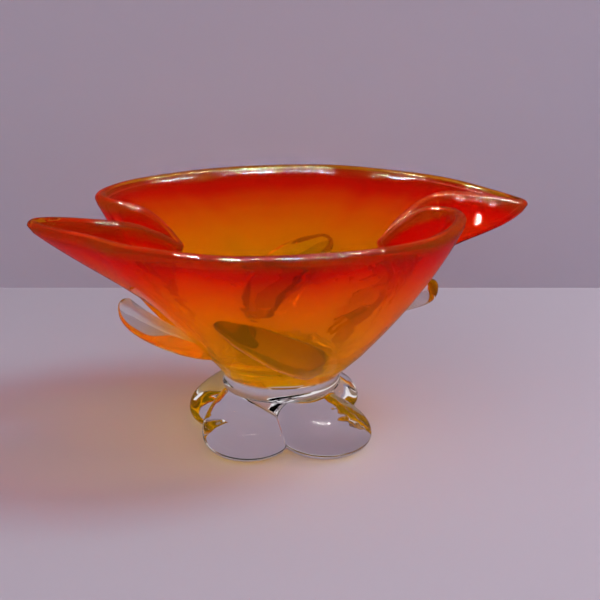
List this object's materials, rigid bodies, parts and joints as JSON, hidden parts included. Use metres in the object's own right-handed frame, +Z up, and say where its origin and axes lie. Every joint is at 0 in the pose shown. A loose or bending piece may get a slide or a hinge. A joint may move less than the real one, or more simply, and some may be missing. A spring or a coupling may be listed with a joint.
{
  "type": "art glass bowl",
  "caption": "Footed cased-glass centrepiece bowl with pulled spouts, curled rim folds, flank fins and a lobed clear foot.",
  "frame": {"origin": "on the axis of the neck, on the table plane under the foot", "axes": "+Z up; the pulled spouts point along +X and -X; the front wall faces -Y"},
  "size_m": [0.3217, 0.2041, 0.1586],
  "materials": {
    "clear_glass": "fire-polished, clear",
    "amber_red_glass": "transparent, amber at the base shading to red below the rim"
  },
  "bodies": {
    "root": {"clear_casing": "clear_glass", "colour_layer": "amber_red_glass", "fin_1": "clear_glass", "fin_2": "clear_glass", "fin_3": "clear_glass", "fin_4": "clear_glass", "neck": "clear_glass", "foot": "clear_glass"}
  },
  "joints": []
}
